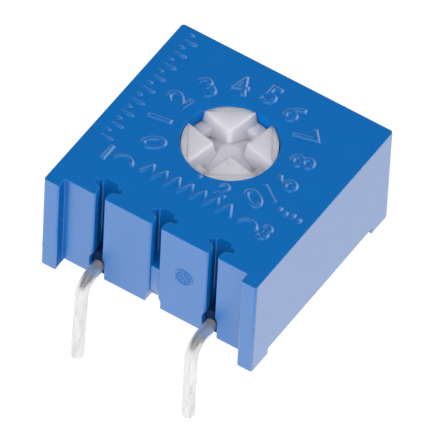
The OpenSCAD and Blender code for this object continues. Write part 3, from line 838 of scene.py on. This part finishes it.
class TRIMMER_OT_dial_numbers(bpy.types.Operator):
    """Raise the ring of dial numbers round the rotor, and the numbers of the three terminals"""
    bl_idname = "trimmer.dial_numbers"
    bl_label = "Dial numbers"

    def execute(self, context):
        marks = held("marks")
        pieces, dial_from, dial_turn = [], 215, 250
        for number in range(marks.last_number + 1):
            angle = dial_from - dial_turn * number / marks.last_number
            place = on_ring(mm(marks.digit_at), angle, (0, AXIS_Y))
            pieces.append(numeral(str(number), mm(marks.digit_high), place, angle - 90))
        row = ribs_y() + mm(marks.zigzag_back)
        for text, share, x, back in (("1", 1, -3.52, -0.14), ("2", 0.84, 1.10, 0.78), ("3", 1, 3.52, -0.10)):
            pieces.append(numeral(text, share * mm(marks.small_digit), (x, row + back), 0))
        finish_marks("dial_numbers", pieces)
        return {"FINISHED"}


class TRIMMER_OT_roundel(bpy.types.Operator):
    """Raise the small round stippled mark on the front of the third rib"""
    bl_idname = "trimmer.roundel"
    bl_label = "Rib mark"

    def execute(self, context):
        radius, rim, dot_r = mm(held("marks").roundel_wide) / 2, 0.045, 0.055
        x, z, face = 1.31, 2.76, ribs_y()
        dot_rings = ((0.14, 6), (0.25, 11))      # radius and dots of each ring
        ring = added(bpy.ops.mesh.primitive_torus_add, major_radius=radius - 0.05, minor_radius=rim,
                     major_segments=40, minor_segments=10, location=(x, face, z),
                     rotation=(math.pi / 2, 0, 0))
        dot = added(bpy.ops.mesh.primitive_uv_sphere_add, segments=10, ring_count=6, radius=dot_r,
                    location=(x, face + 0.006, z))
        pieces = [ring, dot]
        for away, count in dot_rings:
            for i in range(count):
                turn = 2 * math.pi * i / count + away
                pieces.append(copied(dot, (away * math.cos(turn), 0, away * math.sin(turn))))
        finish_piece(join("rib_roundel", pieces), "rib_roundel", "moulded blue", "body")
        return {"FINISHED"}


# ---------------------------------------------------------------- rotor

REST_TURN = -12.5            # degrees that the cross slot stands turned at rest


def cross_tool(low, face, sizes):
    """A cross with drafted sides and rounded inner corners, from a height to above the face."""
    over = 0.5
    half, top = mm(sizes.slot_wide) / 2 + sizes.draft * over, face + over
    tool = block((-half, -half, low), (half, half, top))
    for move in ((1, 0, 0), (-1, 0, 0), (0, 1, 0), (0, -1, 0)):
        extrude_faces(tool, lambda c, n: n.dot(Vector(move)) > 0.9 and c.xy.length < half + 0.01,
                      Vector(move) * mm(sizes.wide))
    merge(tool)
    foot = 1 - sizes.draft * (top - low) / half
    for axis, grow in ((0, (foot, 1, 1)), (1, (1, foot, 1))):
        choose(tool, "VERT", lambda v: v.co.z < low + NEAR and abs(abs(v.co[axis]) - half) < NEAR)
        bpy.ops.transform.resize(value=grow, center_override=(0, 0, 0))
        object_mode()
    return round_edges(tool, lambda a, b: abs(a.z - b.z) > 0.3 and a.xy.length < 1 and b.xy.length < 1,
                       mm(sizes.corner_soft), segments=8)


def slot_depth(face, sizes):
    """The slot's depth as a turned form: shallow at the rim, with a low cone in the middle."""
    middle, start = mm(sizes.mid_wide) / 2, mm(sizes.pit_in)
    pit, high, cone_high = mm(sizes.pit_deep), mm(sizes.mid_deep), 0.6
    depth = combine(drum(mm(sizes.wide) * 0.7, face - mm(sizes.rim_deep), face + 0.3),
                    drum(middle, face - pit, face + 0.1), "UNION")
    fall = (middle - start) / (pit - high)
    return combine(depth, added(bpy.ops.mesh.primitive_cone_add, vertices=96,
                                radius1=start + cone_high * fall, radius2=start, depth=cone_high,
                                location=(0, 0, face - high - cone_high / 2)))


class TRIMMER_OT_rotor(bpy.types.Operator):
    """Turn the rotor's stem and flange, cut its cross slot and add its stop lug and stakes"""
    bl_idname = "trimmer.rotor"
    bl_label = "Rotor"

    def execute(self, context):
        sizes, body = held("rotor"), held("body")
        face, flange_r = ROTOR_HIGH.z, mm(sizes.flange_wide) / 2
        roof = HOUSING_HIGH.z - mm(body.marks_high) - mm(body.roof_thick)
        flange_top = roof - 0.03
        flange_low = flange_top - mm(sizes.flange_thick)
        rotor = drum(mm(sizes.wide) / 2, flange_low + 0.3, face)
        combine(rotor, drum(flange_r, flange_low, flange_top, sides=128), "UNION")
        cross = cross_tool(face - mm(sizes.pit_deep) - 0.2, face, sizes)
        cut(rotor, combine(cross, slot_depth(face, sizes), "INTERSECT"))
        merge(rotor, distance=0.006)
        dissolve_flat(rotor)
        edge_r = mm(sizes.wide) / 2 - 0.01
        edit(rotor, "EDGE")
        bpy.ops.mesh.edges_select_sharp(sharpness=SHARP)
        bpy.ops.transform.edge_bevelweight(value=mm(sizes.rim_soft) / mm(sizes.edge_soft))
        select_edges(rotor, lambda a, b: min(a.z, b.z) > face - NEAR and min(a.xy.length, b.xy.length) < edge_r)
        bpy.ops.transform.edge_bevelweight(value=1)
        object_mode()
        soften(rotor, mm(sizes.edge_soft), segments=3, mitre="MITER_SHARP", by="WEIGHT")
        lug = ring_part(flange_r - 0.1, mm(body.well_wide) / 2 - mm(sizes.lug_gap), flange_low,
                        flange_top, middle=90, turn=LUG_TURN)
        lug.location = (0, -AXIS_Y, 0)
        pieces = [rotor, apply_place(lug)]
        stake_at, stake_r, head_r = 1.45, 0.25, 0.38
        for x in (-stake_at, stake_at):
            pieces.append(drum(stake_r, flange_low - 0.16, flange_low + 0.1, (x, 0), sides=32))
            head = drum(head_r, WIPER_HIGH.z - 0.08 - 0.14, WIPER_HIGH.z - 0.08, (x, 0), sides=32)
            pieces.append(soften(head, 0.03))
        rotor = join("rotor_knob", pieces)
        rotor.rotation_euler.z = math.radians(REST_TURN)
        rotor.location = (0, AXIS_Y, 0)
        apply_place(rotor)
        nick_at = (0.49, 0.275, face + 0.02)
        cut(rotor, dent(0.06, nick_at))
        finish_piece(rotor, "rotor_knob", "moulded off white", "rotor", ["rotor"], smooth=14)
        return {"FINISHED"}


# ---------------------------------------------------------------- leads

HEAD_SEAT = PLATE_HIGH.z + 0.02          # height at which the nail heads sit over the plate


def grow_ring(move, widen=1, middle=(0, 0, 0)):
    """Extrudes the selected ring of edges, and widens it about its middle."""
    bpy.ops.mesh.extrude_region_move(TRANSFORM_OT_translate={"value": move})
    if abs(widen - 1) > 1e-6:
        bpy.ops.transform.resize(value=(widen, widen, 1), center_override=middle)


def bend_ring(centre, turn):
    """Spins the selected ring of edges about an axis from side to side."""
    bpy.ops.mesh.spin(steps=14, angle=turn, center=centre, axis=(1, 0, 0))


def wire_start(x, y, sizes):
    """The tip of a lead: a ring of points that closes to a sloped end, with its last ring selected."""
    radius, slope = mm(sizes.thick) / 2, mm(sizes.tip_cut)
    wire = added(bpy.ops.mesh.primitive_circle_add, vertices=40, radius=radius - slope, fill_type="NGON",
                 location=(x, y, LEAD_LOW.z))
    edit(wire, "EDGE", "SELECT")
    bpy.ops.mesh.region_to_loop()
    grow_ring((0, 0, slope), radius / (radius - slope), (x, y, LEAD_LOW.z + slope))
    return wire


def finish_lead(wire, x, y, sizes, name, node):
    """Widens the end of a lead to its nail head, closes it and finishes the lead."""
    head, thick, fall = mm(sizes.head_wide) / 2, mm(sizes.head_thick), 0.03
    shoulder, crown = head - 0.04, head - 0.12
    grow_ring((0, 0, 0), head / (mm(sizes.thick) / 2), (x, y, HEAD_SEAT))
    grow_ring((0, 0, thick - fall), shoulder / head, (x, y, HEAD_SEAT + thick - fall))
    grow_ring((0, 0, fall), crown / shoulder, (x, y, HEAD_SEAT + thick))
    bpy.ops.mesh.edge_face_add()
    object_mode()
    merge(wire, distance=NEAR)
    finish_piece(wire, name, "tin plate", "body", [node], smooth=40)


class TRIMMER_OT_leads(bpy.types.Operator):
    """Draw the three leads from their tips: straight end, bends under the body and nail head"""
    bl_idname = "trimmer.leads"
    bl_label = "Leads"

    def execute(self, context):
        sizes = held("leads")
        bend, inner, run = mm(sizes.bend), mm(sizes.bend_in), mm(sizes.run_high)
        hole_y, row, tip = PLATE_LOW.y + HOLE_IN, -mm(sizes.row), mm(sizes.tip_cut)
        leans = {"lead_1": (-1, mm(sizes.lean_top), mm(sizes.lean_tip)), "lead_3": (1, 0.0, 0.0)}
        for name, (side, lean_top, lean_tip) in leans.items():
            x = side * mm(sizes.pitch)
            wire = wire_start(x, row + lean_tip, sizes)
            grow_ring((0, lean_top - lean_tip, run - bend - LEAD_LOW.z - tip))
            bend_ring((x, row + lean_top + bend, run - bend), math.pi / 2)
            grow_ring((0, hole_y - inner - (row + lean_top + bend), 0))
            bend_ring((x, hole_y - inner, run + inner), -math.pi / 2)
            grow_ring((0, 0, HEAD_SEAT - run - inner))
            finish_lead(wire, x, hole_y, sizes, name + "_wire", name)
        pin = wire_start(0, 0, sizes)
        grow_ring((0, 0, HEAD_SEAT - LEAD_LOW.z - tip))
        finish_lead(pin, 0, 0, sizes, "lead_2_pin", "lead_2")
        return {"FINISHED"}


# ---------------------------------------------------------------- potting and inner parts

class TRIMMER_OT_potting(bpy.types.Operator):
    """Finish the potting: a copy of the cast block, its underside sunk to a shallow meniscus"""
    bl_idname = "trimmer.potting"
    bl_label = "Potting"

    def execute(self, context):
        cast = frame["nodes"]["base_seal"]
        deselect()
        copy = cast.copy()
        copy.data = cast.data.copy()
        context.scene.collection.objects.link(copy)
        copy.parent = None
        for key in list(copy.keys()):
            del copy[key]
        copy.scale = (1 / MM, 1 / MM, 1 / MM)
        merge(apply_place(copy), distance=NEAR)
        dissolve_flat(copy)
        under, inset, rise = POTTING_LOW.z + 0.06, 0.10, 0.016
        select_faces(copy, lambda c, n: n.z < -0.99 and c.z < under and abs(c.x) < 3)
        bpy.ops.mesh.inset(thickness=inset, depth=0, use_even_offset=True)
        bpy.ops.transform.translate(value=(0, 0, rise))
        object_mode()
        finish_piece(copy, "potting_fill", "cured epoxy", "body", ["base_seal"])
        return {"FINISHED"}


class TRIMMER_OT_inner_finishes(bpy.types.Operator):
    """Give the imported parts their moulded, fired, printed, rolled, plated and soldered finishes"""
    bl_idname = "trimmer.inner_finishes"
    bl_label = "Inner finishes"

    def execute(self, context):
        nodes_of = {"silicone rubber": ["seal_ring"], "rolled spring alloy": ["wiper"],
                    "fired alumina": ["substrate"], "fired resistive film": ["resistive_track"],
                    "fired silver film": ["collector", "end_pad_1", "end_pad_3"],
                    "reflowed solder": ["solder_1", "solder_2", "solder_3"], "moulded blue": ["housing"],
                    "moulded off white": ["rotor"], "cured epoxy": ["base_seal"],
                    "tin plate": ["lead_1", "lead_2", "lead_3"]}
        for finish, nodes in nodes_of.items():
            for node in nodes:
                materials = frame["nodes"][node].data.materials
                materials.clear()
                materials.append(finishes()[finish])
        return {"FINISHED"}


# ---------------------------------------------------------------- stage

WHITE = (1, 1, 1, 1)
LAMP_WIDE, BACK_LAMP_WIDE = 0.55, 0.75
LAMPS = (("key_lamp", (0.225, -0.375, 0.61), 0.60), ("front_lamp", (-0.11, -0.64, 0.37), 0.32),
         ("right_lamp", (0.56, -0.26, 0.42), 0.08))     # place and share of the lamps' power
BACK_LAMP_AT = (0.37, 0.565, 0.33)
CAMERA_AT = Vector((0.151911, -0.254646, 0.345246))
CAMERA_ALONG = Vector((-0.33427, 0.56101, -0.75732)).normalized()
CAMERA_ROLL, CAMERA_LENS, CAMERA_SENSOR = math.radians(3.146), 972.97, 36


def area_lamp(name, place, size, power, target=(0, 0, 0.003)):
    deselect()
    bpy.ops.object.light_add(type="AREA", location=place)
    lamp = bpy.context.object
    lamp.name = name
    set_all(lamp.data, shape="DISK", size=size, energy=power)
    lamp.rotation_euler = (Vector(target) - Vector(place)).to_track_quat("-Z", "Y").to_euler()
    lamp.visible_camera = False
    return lamp


def shown_rays(owner):
    """1 where the floor is looked at, straight, in a gloss or through glass, and 0 where it gives light."""
    rays = add_node(owner, "LightPath").outputs
    first = add_node(owner, "Math", {0: rays["Is Camera Ray"], 1: rays["Is Glossy Ray"]}, operation="MAXIMUM")
    return add_node(owner, "Math", {0: first.outputs[0], 1: rays["Is Transmission Ray"]},
                    operation="MAXIMUM").outputs[0]


def floor_material():
    """A pale floor that is looked at as nearly white, and keeps the object's shadow."""
    material, shadow_tone, glow_strength = new_material("pale floor"), 0.22, 0.90
    output = add_node(material, "OutputMaterial")
    tone = (*held("finishes").floor, 1)
    plain = add_node(material, "BsdfDiffuse", {"Color": tone}).outputs[0]
    faint = add_node(material, "BsdfDiffuse", {"Color": (shadow_tone,) * 3 + (1,)}).outputs[0]
    glow = add_node(material, "Emission", {"Color": WHITE, "Strength": glow_strength}).outputs[0]
    shown = add_node(material, "AddShader", {0: faint, 1: glow}).outputs[0]
    mix = add_node(material, "MixShader", {0: shown_rays(material), 1: plain, 2: shown})
    put(material, output, {"Surface": mix.outputs[0]})
    return material


def surroundings(settings):
    """White to the camera, white to dark from the horizon up in a gloss, and a faint light from all round."""
    world = bpy.data.worlds.new("surroundings")
    bpy.context.scene.world = world
    world.use_nodes = True
    world.node_tree.nodes.clear()
    way = add_node(world, "TexCoord").outputs["Generated"]
    height = add_node(world, "SeparateXYZ", {0: way}).outputs["Z"]
    ramp = add_node(world, "MapRange", {"From Min": 0.10, "From Max": 0.42, "To Min": settings.horizon,
                                        "To Max": settings.zenith, "Value": height},
                    interpolation_type="SMOOTHSTEP")
    rays = add_node(world, "LightPath").outputs
    last = add_node(world, "Background", {"Color": WHITE, "Strength": ramp.outputs["Result"]}).outputs[0]
    for ray, strength in (("Is Diffuse Ray", settings.sky), ("Is Camera Ray", 1)):
        light = add_node(world, "Background", {"Color": WHITE, "Strength": strength}).outputs[0]
        last = add_node(world, "MixShader", {0: rays[ray], 1: last, 2: light}).outputs[0]
    add_node(world, "OutputWorld", {"Surface": last})


class TRIMMER_OT_stage(bpy.types.Operator):
    """Set the pale floor, the soft lamps, the surroundings and the camera"""
    bl_idname = "trimmer.stage"
    bl_label = "Stage"

    def execute(self, context):
        settings = held("stage")
        floor = added(bpy.ops.mesh.primitive_circle_add, vertices=64, radius=2.0, fill_type="NGON",
                      location=(0, 0, LEAD_LOW.z * MM))
        floor.name = "floor"
        floor.data.materials.append(floor_material())
        surroundings(settings)
        for name, place, share in LAMPS:
            area_lamp(name, place, LAMP_WIDE, settings.lamps * share).visible_glossy = False
        area_lamp("back_lamp", BACK_LAMP_AT, BACK_LAMP_WIDE, settings.back)
        deselect()
        bpy.ops.object.camera_add()
        camera = context.object
        camera.name = "view_camera"
        level = CAMERA_ALONG.cross(Vector((0, 0, 1))).normalized()
        right = level * math.cos(CAMERA_ROLL) + level.cross(CAMERA_ALONG) * math.sin(CAMERA_ROLL)
        up = right.cross(CAMERA_ALONG)
        turn = Matrix((right, up, -CAMERA_ALONG)).transposed().to_4x4()
        camera.matrix_world = Matrix.Translation(CAMERA_AT) @ turn
        set_all(camera.data, sensor_width=CAMERA_SENSOR, lens=CAMERA_LENS, clip_start=0.05, clip_end=10)
        context.scene.camera = camera
        context.scene.view_settings.view_transform = "Standard"
        return {"FINISHED"}


# ---------------------------------------------------------------- main

STEPS = (TRIMMER_OT_housing, TRIMMER_OT_resistor_sign, TRIMMER_OT_graduation, TRIMMER_OT_dial_numbers,
         TRIMMER_OT_roundel, TRIMMER_OT_rotor, TRIMMER_OT_leads, TRIMMER_OT_potting,
         TRIMMER_OT_inner_finishes, TRIMMER_OT_stage)
GROUPS = {"trimmer_body": BodySizes, "trimmer_marks": MarkSizes, "trimmer_rotor": RotorSizes,
          "trimmer_leads": LeadSizes, "trimmer_finishes": Finishes, "trimmer_stage": StageSettings}


class TRIMMER_PT_panel(bpy.types.Panel):
    """Lists the trimmer's steps and sizes in the sidebar"""
    bl_idname = "TRIMMER_PT_panel"
    bl_label = "Trimmer"
    bl_space_type = "VIEW_3D"
    bl_region_type = "UI"
    bl_category = "Trimmer"

    def draw(self, context):
        for step in STEPS:
            self.layout.operator(step.bl_idname)
        for group in GROUPS:
            box = self.layout.box()
            box.label(text=group.replace("trimmer_", "").capitalize())
            for prop in GROUPS[group].__annotations__:
                box.prop(getattr(context.scene, group), prop)


def register():
    for item in (*GROUPS.values(), *STEPS, TRIMMER_PT_panel):
        bpy.utils.register_class(item)
    for name, group in GROUPS.items():
        setattr(bpy.types.Scene, name, PointerProperty(type=group))


def unregister():
    for name in GROUPS:
        delattr(bpy.types.Scene, name)
    for item in (TRIMMER_PT_panel, *reversed(STEPS), *reversed(tuple(GROUPS.values()))):
        bpy.utils.unregister_class(item)


def main():
    register()
    for step in STEPS:
        space, name = step.bl_idname.split(".")
        getattr(getattr(bpy.ops, space), name)()


if __name__ == "__main__":
    main()
